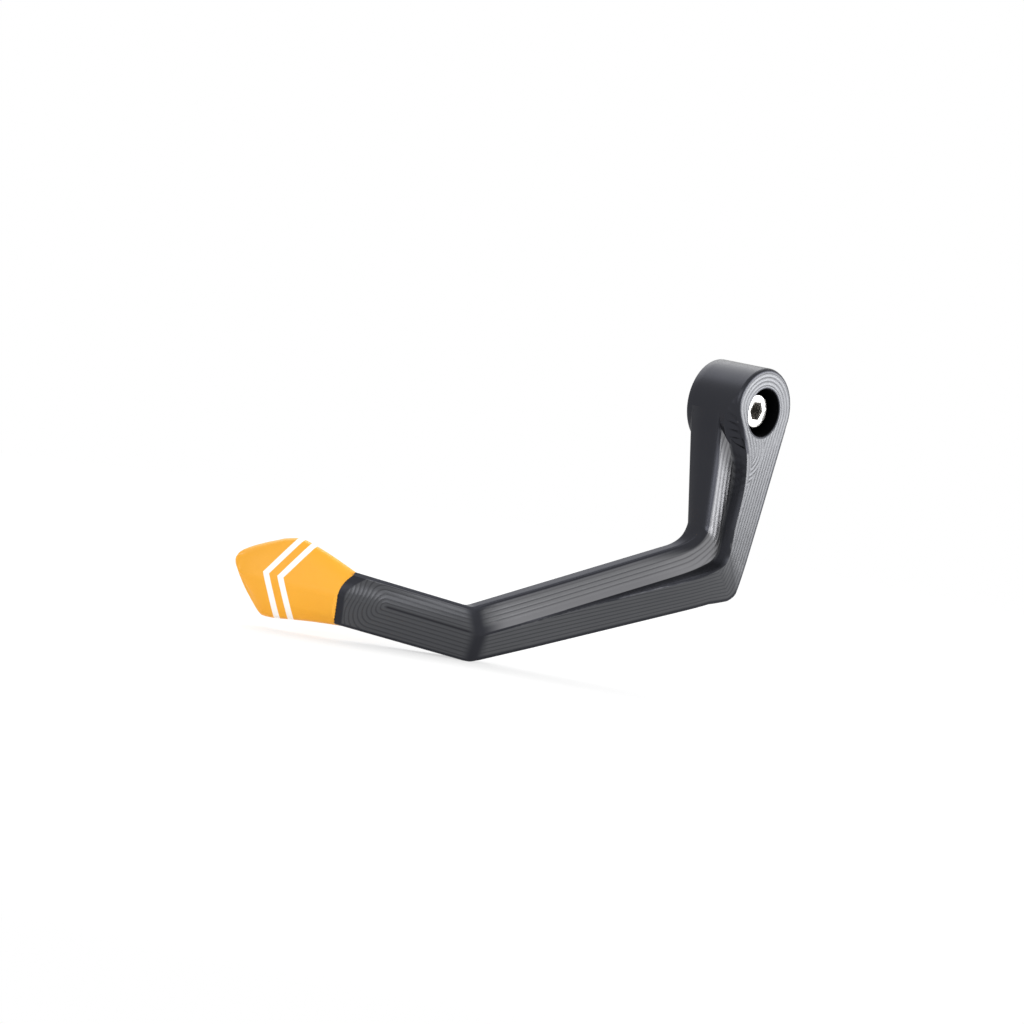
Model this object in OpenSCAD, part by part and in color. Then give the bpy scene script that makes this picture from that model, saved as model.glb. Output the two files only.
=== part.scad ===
// Motorbike clutch lever guard: one machined arm, its nylon end tip and its socket-head bolt.
// The origin is the centre of the boss's seat, which bears on the bar end. +X runs outboard along
// the handlebar, +Z is up along the drop arm. The other two arms sweep inboard and toward -Y.

/* [Boss] */
// diameter of the round boss on the bar end
boss_d = 26; // [20:0.5:34]
// length of the boss along the bar
boss_length = 18.6; // [15:0.2:24]
// how far the boss stands out behind the arm
boss_stand = 1.2; // [0.4:0.2:3]
// edge break round the boss
boss_edge = 0.5; // [0.2:0.1:1]

/* [Bolt] */
// thread diameter of the bolt
bolt_d = 6; // [5:0.5:8]
// diameter of the bolt's head
head_d = 10; // [8:0.5:13]
// height of the bolt's head
head_h = 6; // [4:0.5:8]
// width across the flats of the hexagon socket
hex_af = 5; // [4:0.5:6]
// depth of the hexagon socket
hex_depth = 3.2; // [2:0.2:4]
// bolt length under the head
bolt_length = 16; // [14:1:20]
// how far the head lies below the boss face
head_sink = 2.8; // [1:0.2:4]
// room round the bolt's shank in its hole
shank_gap = 0.3; // [0.2:0.05:0.6]
// room round the bolt's head in the counterbore
head_gap = 2.05; // [1:0.05:3]

/* [Drop arm] */
// distance from the boss axis down to the inner corner
drop_length = 40; // [34:0.5:50]
// width of the drop arm at the inner corner
drop_width = 16.7; // [14:0.1:19]
// width of the drop arm at the boss axis
neck_width = 26.2; // [23:0.2:28]
// how far the back of the arm comes forward from the boss to the elbow
back_rise = 5.5; // [4:0.5:8]
// how far the raised rib narrows between the boss and the elbow
rib_waist = 2.8; // [1:0.2:4]
// width of the low ledge beside the lever
ledge_width = 6.8; // [5:0.2:8]
// height of the step between the ledge and the raised rib
rib_step = 4.4; // [3:0.2:5]

/* [Long arm] */
// length of the long arm seen along the bar
long_length = 50.5; // [40:0.5:65]
// turn of the long arm away from the drop arm, seen along the bar
long_turn = 54; // [45:1:65]
// inboard travel for each millimetre of the long arm
long_sweep = 0.88; // [0.7:0.02:1]
// width of the long arm at the right elbow
long_width = 19.2; // [16:0.2:21]
// width of the long arm at the left elbow
long_end_width = 15.6; // [13:0.2:18]
// depth of the long arm along the bar
long_depth = 11.6; // [9:0.2:14]

/* [Short arm] */
// length of the short arm seen along the bar
short_length = 22.4; // [18:0.2:30]
// turn of the short arm away from the drop arm, seen along the bar
short_turn = 101; // [90:1:110]
// inboard travel for each millimetre of the short arm
short_sweep = 1.28; // [1:0.02:1.5]
// width of the short arm
short_width = 16.2; // [14:0.2:19]
// height of the shallow ridge along the short arm
ridge = 3.2; // [1:0.2:4.5]

// slant of the rim where the arm ends, front edge furthest
rim_slant = 38; // [20:1:45]
// skew of the rim across the arm
rim_skew = 8.5; // [0:0.5:12]

/* [End tip] */
// length of the tip from the arm's rim, along the tip
tip_length = 34.8; // [28:0.2:42]
// greatest width of the tip
tip_width = 24.4; // [20:0.2:28]
// thickness of the tip
tip_thick = 9.6; // [8:0.2:12]
// width of the spigot that holds the tip
spigot_w = 9; // [7:0.2:11]
// thickness of the spigot
spigot_t = 3.6; // [3:0.2:5]
// length of the spigot
spigot_length = 12; // [8:0.5:16]
// room between the spigot and its socket at the sides
spigot_gap = 0.1; // [0.05:0.05:0.3]

/* [Hidden] */
$fn = 96;
boss_r = boss_d / 2;
seat_x = boss_length - head_sink - head_h;
head_bore_d = head_d + 2 * head_gap;
shank_bore_d = bolt_d + 2 * shank_gap;
neck_d = bolt_d - 0.65;
end_edge = 0.6;
drop_turn = -3;
foot_w = ledge_width + 0.4;
ledge_x = boss_length - rib_step;

// Plan points are [down, out], seen along the bar: down is -Z and out is -Y.
function u(t) = [cos(t), sin(t)];
function n(t) = [sin(t), -cos(t)];
function at(x, p) = [x, -p[1], -p[0]];
function mix(a, b, k) = a + (b - a) * k;
function unit(v) = v / norm(v);
function blend(a, b, k) = [for (j = [0:len(a) - 1]) mix(a[j], b[j], k)];

// Each arm has a plan frame of its own: l runs along its inner edge and s across to its outer one.
drop_start = [0, boss_r - 0.03];
corner_1 = drop_start + u(drop_turn) * drop_length;
corner_2 = corner_1 + u(long_turn) * long_length;
function on_drop(l, s) = drop_start + u(drop_turn) * l + n(drop_turn) * s;
function on_long(l, s) = corner_1 + u(long_turn) * l + n(long_turn) * s;
function on_short(l, s) = corner_2 + u(short_turn) * l + n(short_turn) * s;

// A section through the arm: its inner edge, step foot and outer edge in plan, and the levels
// along the bar of its back (inner, outer), ledge edge, step foot, rib top and outer edge.
function section(inner, foot, outer, back_i, back_o, edge_x, foot_x, rib_x, outer_x) =
    let (v = unit(outer - inner))
    [for (p = [
        [inner, back_i + 0.7], [inner, mix(back_i + 0.7, edge_x - 1.5, 0.5)],
        [inner, edge_x - 1.5], [inner + 0.35 * v, edge_x - 0.55], [inner + 1.1 * v, edge_x + 0.1],
        [inner + 1.9 * v, mix(edge_x, foot_x, 0.12) + 0.3],
        [foot, foot_x], [foot + 0.25 * v, mix(foot_x, rib_x, 0.85)], [foot + 0.6 * v, rib_x],
        [outer - 0.9 * v, outer_x], [outer - 0.25 * v, outer_x - 0.3], [outer, outer_x - 1],
        [outer, back_o + 0.7], [outer - 0.6 * v, back_o],
        [mix(outer, inner, 0.5), mix(back_o, back_i, 0.5)], [inner + 0.6 * v, back_i]])
        at(p[1], p[0])];

// The drop arm at t, from 0 on the boss axis to 1 at the inner corner.
function drop(t) = let (l = t * drop_length, b = boss_stand + back_rise * t,
    waist = rib_waist * pow(sin(180 * min(1, 1.05 * (1 - t))), 2))
    section(on_drop(l, 0), on_drop(l, ledge_width - 0.8 + waist),
        on_drop(l, mix(neck_width, drop_width, t)), b, b,
        ledge_x - 1.7, ledge_x, boss_length, boss_length);

// The right elbow at k, from 0 on the drop arm's side to 1 on the long arm's side. Each of its
// three edges is an arc. The outer one stands out a little beyond the long arm's own edge.
inner_r = 4.5;
foot_r = 5;
outer_r = 4.5;
elbow_out = 1.2;
elbow_back = boss_stand + back_rise;
drop_edge = drop_turn + atan((neck_width - drop_width) / drop_length);
long_edge = long_turn + atan((long_width - long_end_width) / long_length);
function arc(corner, a0, a1, r, k) = corner - u(a0) * r * tan((a1 - a0) / 2) - n(a0) * r
    + n(mix(a0, a1, k)) * r;
function meet(p, a, q, b) = p + u(a) * cross(q - p, u(b)) / cross(u(a), u(b));
outer_corner = meet(on_drop(drop_length, drop_width), drop_edge,
    on_long(0, long_width + elbow_out), long_edge);
function elbow(k) =
    section(arc(corner_1, drop_turn, long_turn, inner_r, k),
        arc(on_drop(drop_length + 4.5, ledge_width - 0.6), drop_turn, long_turn, foot_r, k),
        arc(outer_corner, drop_edge, long_edge, outer_r, k), elbow_back, elbow_back,
        mix(ledge_x - 1.9, elbow_back + 3.3, k), ledge_x - k, boss_length - 0.4 * k,
        boss_length - 0.2 - 1.8 * k);

// The long arm at t, from 0 at the right elbow to 1 at the left one. The step fades out along it.
function long_back(t) = elbow_back - 0.4 - long_sweep * t * long_length;
function long(t) = let (l = t * long_length, b = long_back(t),
    foot_h = mix(9.1, 9.8, t), step = (rib_step + 2.4) * pow(1 - t, 1.6))
    section(on_long(l, 0), on_long(l, foot_w), on_long(l, mix(long_width, long_end_width, t)),
        b, b, b + 4.4 - 1.2 * pow(1 - 1.5 * t, 2), b + foot_h, b + foot_h + step,
        b + mix(long_depth + 1, long_depth - 0.5, t));

// The left elbow folds on one mitre line. From there every edge runs straight to the rim.
fold = tan((short_turn - long_turn) / 2);
fold_back = long_back(1);
outer_back = long_back(1 + fold * long_end_width / long_length);
edge_x = fold_back + 4;
rim_x = edge_x - short_sweep * short_length;
mitre = section(corner_2, on_long(long_length + fold * foot_w, foot_w),
    on_long(long_length + fold * long_end_width, long_end_width), fold_back, outer_back,
    edge_x, edge_x + 2.4, edge_x + 2.5, outer_back + long_depth - 2.2);
rim = section(on_short(short_length, 0), on_short(short_length + 2.5, foot_w),
    on_short(short_length - 1.4, short_width), rim_x - 9.7, rim_x - 7.6,
    rim_x, rim_x + ridge - 3.3, rim_x + ridge - 3.2, rim_x);
before = blend(mitre, long(0.89), 0.14);
after = blend(mitre, rim, 0.045);

sections = concat(
    [for (t = [0, 0.12, 0.24, 0.36, 0.48, 0.6, 0.72, 0.84, 0.94]) drop(t)],
    [for (k = [0:0.2:1]) elbow(k)],
    [for (t = [0.1, 0.18, 0.27, 0.38, 0.5, 0.62, 0.75, 0.89]) long(t)],
    [before, blend(blend(before, after, 0.3), mitre, 0.55),
        blend(blend(before, after, 0.7), mitre, 0.55), after],
    [blend(mitre, rim, 0.5), blend(mitre, rim, 1.5)]);

// A closed skin over a row of sections, each end filled to its middle.
module skin(rows) {
    m = len(rows);
    c = len(rows[0]);
    ends = [for (row = [rows[0], rows[m - 1]])
        [for (q = [0:2]) [for (p = row) p[q]] * [for (p = row) 1] / c]];
    polyhedron(points = concat([for (row = rows) for (p = row) p], ends), convexity = 6,
        faces = [for (j = [0:c - 1]) let (k = (j + 1) % c, last = (m - 1) * c) each concat(
            [[m * c, k, j], [m * c + 1, last + j, last + k]],
            [for (i = [0:m - 2]) each [[i * c + j, (i + 1) * c + k, (i + 1) * c + j],
                [i * c + j, i * c + k, (i + 1) * c + k]]])]);
}

// A round piece about the bar's axis, from points [radius, along the bar].
module turned(points) { rotate([0, 90, 0]) rotate_extrude() polygon(points); }

module boss() {
    turned([[0, 0], [boss_r - boss_edge, 0], [boss_r, boss_edge],
        [boss_r, boss_length - boss_edge], [boss_r - boss_edge, boss_length], [0, boss_length]]);
}

module bolt_holes() {
    turned([[0, -1], [shank_bore_d / 2, -1], [shank_bore_d / 2, seat_x],
        [head_bore_d / 2, seat_x], [head_bore_d / 2, boss_length + 1], [0, boss_length + 1]]);
}

// The tip's own axes: x along it, y across it and z to its front, from the rim's inner edge.
tip_x = unit(at(-short_sweep, u(short_turn)));
tip_y = at(0, n(short_turn));
tip_z = unit(at(1, short_sweep * u(short_turn)));
tip_o = at(rim_x, on_short(short_length, 0));
module at_tip() {
    multmatrix([for (r = [0:2]) [tip_x[r], tip_y[r], tip_z[r], tip_o[r]]]) children();
}

// The half space beyond the rim (side 1) or short of it (side 0).
module past_rim(side) {
    at_tip() rotate([0, rim_slant, -rim_skew])
        translate([90 * (side - 1), -45, -45]) cube(90);
}

mid_z = -2.2;
mid_y = foot_w + 0.6;
module spigot(gap, length) {
    at_tip() translate([-4, mid_y - spigot_w / 2 - gap, mid_z - spigot_t / 2 - gap])
        cube([4 + length, spigot_w + 2 * gap, spigot_t + 2 * gap]);
}

// The tip's section at x, from edge a to edge b, with its thickness scaled by k.
function tip_row(x, a, b, k) = let (
    top = min(b - 1, max(a + 1, mid_y + 0.06 * x)), e = min(1, (b - a) / 6), h = k * tip_thick / 9.6)
    [for (p = [[a, -0.7], [a + 0.3 * e, 0.9], [a + 1.2 * e, 2], [mix(a, top, 0.35), 3.15],
        [mix(a, top, 0.7), 4.05], [top, 4.7], [mix(top, b, 0.3), 4], [mix(top, b, 0.65), 2.75],
        [b - 1.2 * e, 1.2], [b - 0.3 * e, 0.2], [b, -1.2], [b - 0.3 * e, -2.7],
        [b - 1.4 * e, -3.7], [mix(a, b, 0.65), -4.4], [mix(a, b, 0.35), -4.5],
        [a + 1.4 * e, -3.9], [a + 0.3 * e, -2.5]]) [x, p[0], mid_z + p[1] * h]];

// The tip's outline: [along, upper edge, lower edge, thickness], for a tip 33 long and 24.4 wide.
tip_outline = [[-9, -0.4, 16.5, 1], [-1, -0.5, 16.6, 1], [3, -1.4, 16.8, 1.02],
    [8, -2.9, 17.5, 1.04], [13, -4.3, 18.5, 1.05], [15.8, -4.9, 19.1, 1.05],
    [17.6, -4.9, 19.5, 1.05], [20.6, -4, 19.8, 1.04], [21.8, -3.5, 19.7, 1.02],
    [22.8, -2.9, 19.1, 1], [25.5, -1.4, 16.5, 0.93], [28.4, 0.4, 13.4, 0.8],
    [30.6, 2, 10.6, 0.63], [31.9, 3.2, 8.7, 0.46], [32.7, 4.4, 7.4, 0.28], [33, 5.4, 6.5, 0.12]];
function widen(y, x) = x < 4 ? y + (y - mid_y) * (short_width / 16.2 - 1)
    : mid_y + (y - mid_y) * tip_width / 24.4;
tip_rows = [for (p = tip_outline)
    tip_row(p[0] * tip_length / 33, widen(p[1], p[0]), widen(p[2], p[0]), p[3])];

module guard_arm() {
    color([0.13, 0.13, 0.14]) difference() {
        union() {
            boss();
            difference() { skin(sections); past_rim(1); }
            spigot(0, spigot_length);
        }
        bolt_holes();
    }
}

module end_tip() {
    color([0.95, 0.62, 0.12]) difference() {
        at_tip() skin(tip_rows);
        past_rim(0);
        spigot(spigot_gap, spigot_length + 0.5);
    }
}

// The thread stands behind the seat. Inside the boss the shank is a little thinner.
module mounting_bolt() {
    top = seat_x + head_h;
    end = seat_x - bolt_length;
    color([0.75, 0.76, 0.78]) difference() {
        turned([[0, end], [bolt_d / 2 - end_edge, end], [bolt_d / 2, end + end_edge],
            [bolt_d / 2, 0], [neck_d / 2, 0], [neck_d / 2, seat_x], [head_d / 2, seat_x],
            [head_d / 2, top - 0.4], [head_d / 2 - 0.4, top], [0, top]]);
        translate([top - hex_depth, 0, 0]) rotate([0, 90, 0])
            cylinder(d = hex_af / cos(30), h = hex_depth + 1, $fn = 6);
    }
}

guard_arm();
end_tip();
mounting_bolt();
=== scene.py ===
"""Clutch lever guard: milled and anodised arm, nylon end tip, socket-head bolt."""

import math

import bpy
import numpy as np
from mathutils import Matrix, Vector


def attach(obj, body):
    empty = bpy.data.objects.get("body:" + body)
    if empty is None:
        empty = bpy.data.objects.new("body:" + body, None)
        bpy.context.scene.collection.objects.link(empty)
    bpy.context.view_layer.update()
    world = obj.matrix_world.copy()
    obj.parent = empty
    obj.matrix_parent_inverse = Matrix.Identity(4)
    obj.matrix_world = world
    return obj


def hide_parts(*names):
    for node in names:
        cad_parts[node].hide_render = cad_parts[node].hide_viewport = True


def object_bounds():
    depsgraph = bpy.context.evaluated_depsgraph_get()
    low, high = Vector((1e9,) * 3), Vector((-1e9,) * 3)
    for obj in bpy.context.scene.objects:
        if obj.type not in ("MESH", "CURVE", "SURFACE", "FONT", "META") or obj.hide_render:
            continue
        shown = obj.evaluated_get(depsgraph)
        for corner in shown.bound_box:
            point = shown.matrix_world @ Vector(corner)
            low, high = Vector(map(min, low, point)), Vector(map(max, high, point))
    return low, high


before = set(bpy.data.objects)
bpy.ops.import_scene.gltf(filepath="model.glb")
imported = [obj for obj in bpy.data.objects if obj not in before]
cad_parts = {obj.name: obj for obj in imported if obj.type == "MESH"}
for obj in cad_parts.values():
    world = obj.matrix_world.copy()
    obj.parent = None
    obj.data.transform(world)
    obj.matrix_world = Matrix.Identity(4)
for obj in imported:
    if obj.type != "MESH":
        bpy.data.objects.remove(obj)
cad_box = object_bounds()

MM = 0.001

# Boss and bolt, in millimetres. The boss stands on the origin and runs along +X.
BOSS_R = 13.0
BOSS_LENGTH = 18.6
BOSS_STAND = 1.2
BACK_EDGE = 0.5
COUNTERBORE_R = 7.05
SEAT_X = 9.8
SHANK_BORE_R = 3.3
MOUTH_EDGE = 0.25
BOLT_R = 3.0
NECK_R = 2.675
HEAD_R = 5.0
HEAD_H = 6.0
HEAD_EDGE = 0.45
HEX_FLATS = 5.0
HEX_DEPTH = 3.2
BOLT_END = -6.2
THREAD_PITCH = 1.0
THREAD_DEPTH = 0.45
FRONT_EDGE = 1.05
HEAD_SIDES = 120
KNURL_START = 0.7
KNURL_TOP_GAP = 1.2
KNURL_INSET = 0.04
KNURL_DEPTH = 0.06
SOCKET_BEVEL = 0.16
NEAR = 0.01

# Arm, in millimetres and degrees.
DROP_LENGTH, DROP_WIDTH, NECK_WIDTH, DROP_TURN = 40.0, 16.7, 26.45, -3.0
BACK_RISE, RIB_WAIST, LEDGE_WIDTH, RIB_STEP = 5.5, 2.2, 6.8, 4.4
LONG_LENGTH, LONG_TURN, LONG_SWEEP, LONG_DEPTH = 50.5, 54.0, 0.88, 11.6
LONG_WIDTH, LONG_END_WIDTH = 19.2, 15.6
SHORT_LENGTH, SHORT_TURN, SHORT_SWEEP, SHORT_WIDTH = 22.4, 101.0, 1.28, 16.2
RIDGE, RIM_SLANT, RIM_SKEW = 3.2, 38.0, 8.5
INNER_R, FOOT_R, OUTER_R, ELBOW_OUT = 8.0, 5.0, 4.5, 1.2
DROP_END = 0.88
FOOT_W = LEDGE_WIDTH + 0.4
LEDGE_X = BOSS_LENGTH - RIB_STEP
ELBOW_BACK = BOSS_STAND + BACK_RISE

# End tip, in millimetres.
TIP_LENGTH = 34.8
TIP_MID_Y = FOOT_W + 0.6
TIP_MID_Z = -2.2

# The tip's two painted chevrons, in millimetres along and across the tip.
CHEVRON_POINTS = 20.2, 24.6
CHEVRON_MIDDLE = 7.6
CHEVRON_SLANT = 0.55
CHEVRON_INNER = 0.9
CHEVRON_OUTER = 0.98

# Milling lines: a ball cutter leaves shallow hollows side by side, with a ridge between them.
PITCH = 1.2
HOLLOW = 0.05
RIDGE_SHARE = 0.22
POCKET_END = 16.2

# Rows of the arm's grid whose levels are evened out, and how often.
SOFT_ROWS = 52, 150
SOFT_TIMES = 60
DROP_ROWS = 72


def cosd(t):
    return math.cos(math.radians(t))


def sind(t):
    return math.sin(math.radians(t))


def u(t):
    return np.array([cosd(t), sind(t)])


def n(t):
    return np.array([sind(t), -cosd(t)])


def mix(a, b, k):
    return a + (b - a) * k


def smooth_step(x, low, high):
    k = np.clip((x - low) / (high - low), 0, 1)
    return k * k * (3 - 2 * k)


def curve_through(keys, values, x):
    """Values along a smooth curve through the given points."""
    slope = np.gradient(values, keys, axis=0)
    i = np.clip(np.searchsorted(keys, x) - 1, 0, len(keys) - 2)
    h = keys[i + 1] - keys[i]
    k = (x - keys[i]) / h
    if values.ndim > 1:
        h, k = h[:, None], k[:, None]
    a, b = values[i], values[i + 1]
    return (
        (1 + 2 * k) * (1 - k) ** 2 * a
        + k * (1 - k) ** 2 * h * slope[i]
        + k * k * (3 - 2 * k) * b
        + k * k * (k - 1) * h * slope[i + 1]
    )


# Plan points are [down, out], seen along the bar: down is -Z and out is -Y.
def at(x, p):
    return np.array([x, -p[1], -p[0]])


INNER_CLEAR = 0.008
DROP_START = np.array([0, BOSS_R + INNER_CLEAR])
CORNER_1 = DROP_START + u(DROP_TURN) * DROP_LENGTH
CORNER_2 = CORNER_1 + u(LONG_TURN) * LONG_LENGTH


def on_drop(l, s):
    return DROP_START + u(DROP_TURN) * l + n(DROP_TURN) * s


def on_long(l, s):
    return CORNER_1 + u(LONG_TURN) * l + n(LONG_TURN) * s


def on_short(l, s):
    return CORNER_2 + u(SHORT_TURN) * l + n(SHORT_TURN) * s


def section(inner, foot, outer, back_i, back_o, edge_x, foot_x, rib_x, outer_x, slope=0.0):
    """The 16 points round the arm: inner wall, ledge, step, raised face, outer wall, back."""
    v = (outer - inner) / np.linalg.norm(outer - inner)
    rows = [
        (inner, back_i + 0.7),
        (inner, mix(back_i + 0.7, edge_x - 0.5, 0.5)),
        (inner, edge_x - 0.5),
        (inner + 0.12 * v, edge_x - 0.18),
        (inner + 0.5 * v, edge_x + 0.05),
        (inner + 1.1 * v, mix(edge_x, foot_x, 0.08) + 0.15),
        (foot - slope * v, foot_x),
        (foot + (0.25 - 0.3 * slope) * v, mix(foot_x, rib_x, 0.85 - 0.1 * slope)),
        (foot + 0.6 * v, rib_x),
        (outer - 0.9 * v, outer_x),
        (outer - 0.25 * v, outer_x - 0.3),
        (outer, outer_x - 1),
        (outer, back_o + 0.7),
        (outer - 0.6 * v, back_o),
        (mix(outer, inner, 0.5), mix(back_o, back_i, 0.5)),
        (inner + 0.6 * v, back_i),
    ]
    return np.array([at(x, p) for p, x in rows])


def drop(t):
    """The drop arm at t, from 0 on the boss axis to 1 at the inner corner."""
    l = t * DROP_LENGTH
    b = BOSS_STAND + BACK_RISE * t
    waist = RIB_WAIST * sind(180 * min(1, 1.05 * (1 - t))) ** 2
    flare = 1.04 * math.exp((9.8 - max(l, 8)) / 3.4)
    return section(
        inner=on_drop(l, 0),
        foot=on_drop(l, LEDGE_WIDTH - 0.8 + waist - flare),
        outer=on_drop(l, mix(NECK_WIDTH, DROP_WIDTH, t)),
        back_i=b,
        back_o=b,
        edge_x=LEDGE_X - 1.7,
        foot_x=LEDGE_X,
        rib_x=BOSS_LENGTH,
        outer_x=BOSS_LENGTH,
        slope=1.9 * smooth_step(-l, -19, -9),
    )


def arc(corner, a0, a1, r, k):
    return corner - u(a0) * r * math.tan(math.radians(a1 - a0) / 2) - n(a0) * r + n(mix(a0, a1, k)) * r


def cross(a, b):
    return a[0] * b[1] - a[1] * b[0]


def meet(p, a, q, b):
    return p + u(a) * cross(q - p, u(b)) / cross(u(a), u(b))


DROP_EDGE = DROP_TURN + math.degrees(math.atan((NECK_WIDTH - DROP_WIDTH) / DROP_LENGTH))
LONG_EDGE = LONG_TURN + math.degrees(math.atan((LONG_WIDTH - LONG_END_WIDTH) / LONG_LENGTH))
OUTER_CORNER = meet(
    on_drop(DROP_LENGTH, DROP_WIDTH), DROP_EDGE, on_long(0, LONG_WIDTH + ELBOW_OUT), LONG_EDGE
)
INNER_SETBACK = INNER_R * math.tan(math.radians(LONG_TURN - DROP_TURN) / 2)
INNER_START = 1 - INNER_SETBACK / DROP_LENGTH
INNER_END = INNER_SETBACK / LONG_LENGTH


def sink(a, b, k):
    """A level from a to b round the elbow, that ends with the long arm's own slope."""
    fall = LONG_SWEEP * INNER_R * math.radians(LONG_TURN - DROP_TURN)
    return mix(a, b, k * k * (3 - 2 * k)) + fall * (k**2 - k**3)


def elbow(k):
    """The right elbow at k, from 0 on the drop arm's side to 1 on the long arm's side."""
    return section(
        inner=arc(CORNER_1, DROP_TURN, LONG_TURN, INNER_R, k),
        foot=arc(on_drop(DROP_LENGTH + 4.5, LEDGE_WIDTH - 0.6), DROP_TURN, LONG_TURN, FOOT_R, k),
        outer=arc(OUTER_CORNER, DROP_EDGE, LONG_EDGE, OUTER_R, k),
        back_i=sink(mix(BOSS_STAND, ELBOW_BACK, INNER_START), long_back(INNER_END), k),
        back_o=ELBOW_BACK,
        edge_x=sink(LEDGE_X - 1.7, long_edge(INNER_END), k),
        foot_x=LEDGE_X - k,
        rib_x=BOSS_LENGTH - 0.4 * k,
        outer_x=BOSS_LENGTH - 0.2 - 1.8 * k,
    )


def long_back(t):
    return ELBOW_BACK - 0.4 - LONG_SWEEP * t * LONG_LENGTH


def long_edge(t):
    return long_back(t) + 4.4 - 1.2 * (1 - 1.5 * t) ** 2 + 0.6 * (1 - t)


def long_arm(t):
    """The long arm at t, from 0 at the right elbow to 1 at the left one. The step fades out."""
    l = t * LONG_LENGTH
    b = long_back(t)
    foot_h = mix(9.1, 9.8, t)
    step = (RIB_STEP + 2.4) * (1 - t) ** 1.6
    return section(
        inner=on_long(l, 0),
        foot=on_long(l, FOOT_W),
        outer=on_long(l, mix(LONG_WIDTH, LONG_END_WIDTH, t)),
        back_i=b,
        back_o=b,
        edge_x=long_edge(t),
        foot_x=b + foot_h,
        rib_x=b + foot_h + step,
        outer_x=b + mix(LONG_DEPTH + 1, LONG_DEPTH - 0.5, t),
    )


FOLD = math.tan(math.radians(SHORT_TURN - LONG_TURN) / 2)
FOLD_BACK = long_back(1)
OUTER_BACK = long_back(1 + FOLD * LONG_END_WIDTH / LONG_LENGTH)
EDGE_X = FOLD_BACK + 4
RIM_X = EDGE_X - SHORT_SWEEP * SHORT_LENGTH
MITRE = section(
    inner=CORNER_2,
    foot=on_long(LONG_LENGTH + FOLD * FOOT_W, FOOT_W),
    outer=on_long(LONG_LENGTH + FOLD * LONG_END_WIDTH, LONG_END_WIDTH),
    back_i=FOLD_BACK,
    back_o=OUTER_BACK,
    edge_x=EDGE_X,
    foot_x=EDGE_X + 2.4,
    rib_x=EDGE_X + 2.5,
    outer_x=OUTER_BACK + LONG_DEPTH - 2.2,
)
RIM = section(
    inner=on_short(SHORT_LENGTH, 0),
    foot=on_short(SHORT_LENGTH + 2.5, FOOT_W),
    outer=on_short(SHORT_LENGTH - 1.4, SHORT_WIDTH),
    back_i=RIM_X - 9.7,
    back_o=RIM_X - 7.6,
    edge_x=RIM_X,
    foot_x=RIM_X + RIDGE - 3.3,
    rib_x=RIM_X + RIDGE - 3.2,
    outer_x=RIM_X,
)

# The tip's own axes, from the rim's inner edge: along it, across it and to its front.
TIP_X = at(-SHORT_SWEEP, u(SHORT_TURN)) / math.hypot(1, SHORT_SWEEP)
TIP_Y = at(0, n(SHORT_TURN))
TIP_Z = at(1, SHORT_SWEEP * u(SHORT_TURN)) / math.hypot(1, SHORT_SWEEP)
TIP_O = at(RIM_X, on_short(SHORT_LENGTH, 0))
RIM_NORMAL = (
    TIP_X * cosd(RIM_SLANT) * cosd(RIM_SKEW)
    - TIP_Y * cosd(RIM_SLANT) * sind(RIM_SKEW)
    - TIP_Z * sind(RIM_SLANT)
)

# Each span between two section points is cut into so many steps. The milled ones are fine.
LINES_PER_PITCH = 8
STEPS = [1, 2, 2, 2, 2, 42, 4, 2, 118, 2, 2, 4, 1, 3, 3, 1]
COLUMN_OF = np.concatenate([[0], np.cumsum(STEPS)])
COLUMNS = int(COLUMN_OF[-1])
LEDGE_COLUMNS = np.arange(COLUMN_OF[5], COLUMN_OF[6] + 1)
FACE_COLUMNS = np.arange(COLUMN_OF[8], COLUMN_OF[9] + 1)
STEP_COLUMNS = np.arange(COLUMN_OF[6], COLUMN_OF[8] + 1)


def fine(points):
    """A section's 16 points, filled in to all the columns."""
    out = []
    for j, steps in enumerate(STEPS):
        a, b = points[j], points[(j + 1) % len(points)]
        out += [mix(a, b, i / steps) for i in range(steps)]
    return np.array(out)


def line_up(rows):
    """Moves the face's columns to fixed distances from the outer edge, as far as there is room."""
    first, last = COLUMN_OF[8], COLUMN_OF[9]
    inner, outer = rows[:, first], rows[:, last]
    edge = plan(rows[:, COLUMN_OF[11]])
    run = np.gradient(edge, axis=0)
    run /= np.linalg.norm(run, axis=-1, keepdims=True)
    across = plan(outer) - plan(inner)
    width = np.linalg.norm(across, axis=-1)
    lean = np.abs(across[:, 0] * run[:, 1] - across[:, 1] * run[:, 0]) / width
    steps = np.arange(last - first, -1, -1.0)
    away = (steps[None] * PITCH / LINES_PER_PITCH) / lean[:, None]
    room = width[:, None] - (steps[-1] + steps[0] - steps)[None] * 0.004
    share = np.minimum(away, room) / width[:, None]
    rows[:, first : last + 1] = mix(outer[:, None], inner[:, None], share[..., None])
    return rows


def crown(rows):
    """Rounds the ridge of the short arm, so that its two sides run into each other."""
    first, foot, last = COLUMN_OF[5], COLUMN_OF[6], COLUMN_OF[9]
    span = rows[:, first : last + 1]
    flat = plan(span) - CORNER_2
    sweep = SHORT_SWEEP * (flat @ u(SHORT_TURN))
    height = span[..., 0] + sweep
    w = flat @ n(SHORT_TURN)
    w = (w - w[:, :1]) / (w[:, -1:] - w[:, :1])
    w_foot = w[:, foot - first][:, None]
    line = mix(height[:, :1], height[:, -1:], w)
    rise = height[:, foot - first][:, None] - mix(height[:, :1], height[:, -1:], w_foot)
    side = np.where(w < w_foot, (w_foot - w) / w_foot, (w - w_foot) / (1 - w_foot))
    round_x = line + rise * (1 - side**2) - sweep
    share = smooth_step(flat @ u((LONG_TURN + SHORT_TURN) / 2), -1, 2)
    rows[:, first : last + 1, 0] = mix(span[..., 0], round_x, share)
    return rows


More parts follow.
